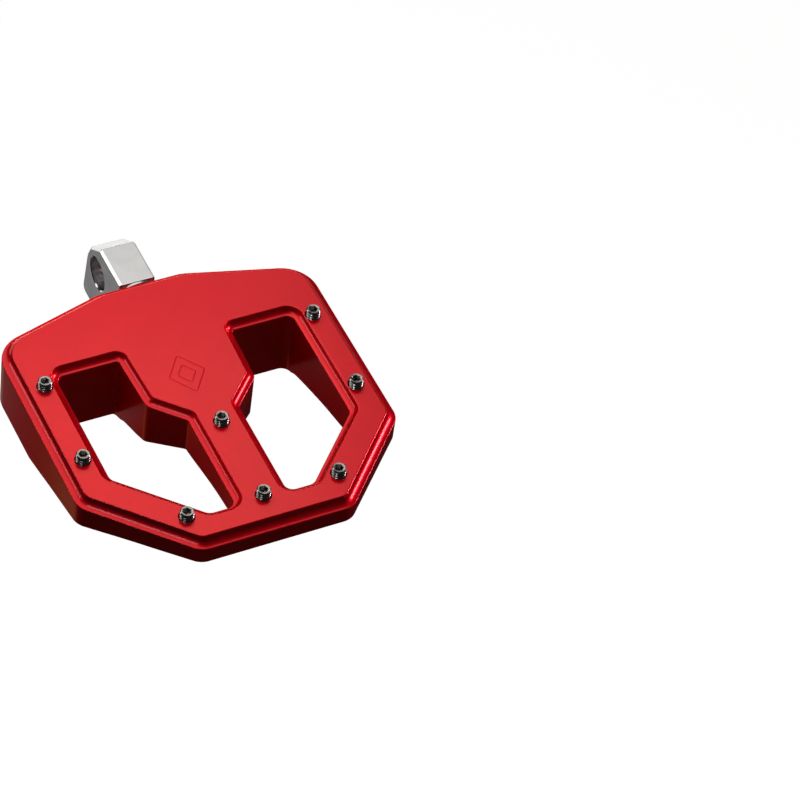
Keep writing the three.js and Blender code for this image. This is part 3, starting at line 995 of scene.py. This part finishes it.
def make_world(studio):
    """A pale backdrop for the camera, and a dim surround for everything else."""
    world = bpy.data.worlds.new("studio")
    bpy.context.scene.world = world
    world.use_nodes = True
    tree = world.node_tree
    tree.nodes.clear()
    seen = add_node(tree, "ShaderNodeLightPath").outputs["Is Camera Ray"]
    surround = add_node(tree, "ShaderNodeBackground", {
        "Color": (1.0, 0.9, 0.8, 1.0), "Strength": studio.surround})
    backdrop = add_node(tree, "ShaderNodeBackground", {
        "Color": (1.0, 1.0, 1.0, 1.0), "Strength": studio.backdrop})
    mix = add_node(tree, "ShaderNodeMixShader", {
        0: seen, 1: surround.outputs[0], 2: backdrop.outputs[0]})
    add_node(tree, "ShaderNodeOutputWorld", {"Surface": mix.outputs[0]})


def make_floor(studio):
    """A plain pale floor far below the pedal."""
    reach, glow = 12.0, 0.95
    corners = [(-reach, -reach), (reach, -reach), (reach, reach), (-reach, reach)]
    floor = make_object("floor", [(x, y, -studio.floor_drop) for x, y in corners], [(0, 1, 2, 3)])
    material = bpy.data.materials.new("floor")
    material.use_nodes = True
    shader = material.node_tree.nodes["Principled BSDF"]
    shader.inputs["Base Color"].default_value = (0.9, 0.9, 0.9, 1.0)
    shader.inputs["Roughness"].default_value = 1.0
    shader.inputs["Emission Color"].default_value = (1.0, 1.0, 1.0, 1.0)
    shader.inputs["Emission Strength"].default_value = glow * studio.backdrop
    floor.data.materials.append(material)
    floor.visible_glossy = False
    floor.visible_diffuse = False


# ---------- operators ----------

class MakeStudio(bpy.types.Operator):
    """Makes the floor, the surround, the lights and the camera"""

    bl_idname = "flat_pedal.studio"
    bl_label = "Studio"

    def execute(self, context):
        studio = context.scene.flat_pedal.studio
        context.scene.view_settings.view_transform = "Standard"
        make_world(studio)
        make_floor(studio)
        for light in LIGHTS:
            soft_light(*light)
        make_camera(studio)
        return {"FINISHED"}


class MakePlatform(bpy.types.Operator):
    """Makes the machined platform with its coves, windows, holes and engraved lines"""

    bl_idname = "flat_pedal.platform"
    bl_label = "Platform"

    def execute(self, context):
        settings = context.scene.flat_pedal
        platform = make_platform(settings)
        platform.name = "platform_machined"
        platform.data.materials.clear()
        platform.data.materials.append(red_anodised(settings.finishes))
        put_in_frame(platform, TREAD_ORIGIN)
        finish_surface(platform)
        hand_over(platform, "platform", "red_anodised", "platform")
        return {"FINISHED"}


class MakePins(bpy.types.Operator):
    """Makes the threaded traction pins"""

    bl_idname = "flat_pedal.traction_pins"
    bl_label = "Traction pins"

    def execute(self, context):
        for pin, node in make_pins(context.scene.flat_pedal):
            finish_surface(pin)
            hand_over(pin, node.replace("traction_pin_", "pin_"), "pin_steel", node)
        return {"FINISHED"}


class MakeTongue(bpy.types.Operator):
    """Makes the hinge tongue with its pivot hole, boss and stem"""

    bl_idname = "flat_pedal.tongue"
    bl_label = "Tongue"

    def execute(self, context):
        settings = context.scene.flat_pedal
        tongue = make_tongue(settings)
        tongue.data.materials.clear()
        tongue.data.materials.append(satin_steel(settings.finishes))
        put_in_frame(tongue)
        finish_surface(tongue)
        hand_over(tongue, "mount", "tongue_steel", "mount_tongue")
        return {"FINISHED"}


class MakeHardware(bpy.types.Operator):
    """Makes the clamp bolt, the lock washer and the flat washer"""

    bl_idname = "flat_pedal.hardware"
    bl_label = "Bolt and washers"

    def execute(self, context):
        settings = context.scene.flat_pedal
        black = black_oxide(settings.finishes)
        bolt = make_bolt(settings, black)
        lock, flat = make_lock_washer(settings), make_flat_washer(settings)
        lock.data.materials.append(black)
        flat.data.materials.append(washer_zinc(settings.finishes))
        for washer in (lock, flat):
            put_in_frame(washer)
        for piece, slot, node in ((bolt, "bolt_steel", "clamp_bolt"), (lock, "bolt_steel", "lock_washer"),
                                  (flat, "washer_steel", "flat_washer")):
            finish_surface(piece)
            hand_over(piece, "mount", slot, node)
        return {"FINISHED"}


class PedalPanel(bpy.types.Panel):
    """Lists the pedal's operators and settings"""

    bl_idname = "VIEW3D_PT_flat_pedal"
    bl_label = "Flat pedal"
    bl_space_type = "VIEW_3D"
    bl_region_type = "UI"
    bl_category = "Pedal"

    def draw(self, context):
        for operator in OPERATORS:
            self.layout.operator(operator.bl_idname)
        settings = context.scene.flat_pedal
        for group in (settings.platform, settings.pin, settings.tongue, settings.hardware,
                      settings.finishes, settings.studio):
            box = self.layout.box()
            for name in group.__annotations__:
                box.prop(group, name)
        self.layout.prop(settings, "knurls")


GROUPS = (PlatformSizes, PinSizes, TongueSizes, HardwareSizes, Finishes, StudioSettings, PedalSettings)
OPERATORS = (MakeStudio, MakePlatform, MakePins, MakeTongue, MakeHardware)
CLASSES = (*GROUPS, *OPERATORS, PedalPanel)


def register():
    """Registers the classes and the scene's settings."""
    for each in CLASSES:
        bpy.utils.register_class(each)
    bpy.types.Scene.flat_pedal = PointerProperty(type=PedalSettings)


def unregister():
    """Removes the settings and the classes."""
    del bpy.types.Scene.flat_pedal
    for each in reversed(CLASSES):
        bpy.utils.unregister_class(each)


def main():
    """Makes the studio and every piece."""
    register()
    bpy.ops.flat_pedal.studio()
    bpy.ops.flat_pedal.platform()
    bpy.ops.flat_pedal.traction_pins()
    bpy.ops.flat_pedal.tongue()
    bpy.ops.flat_pedal.hardware()


if __name__ == "__main__":
    main()
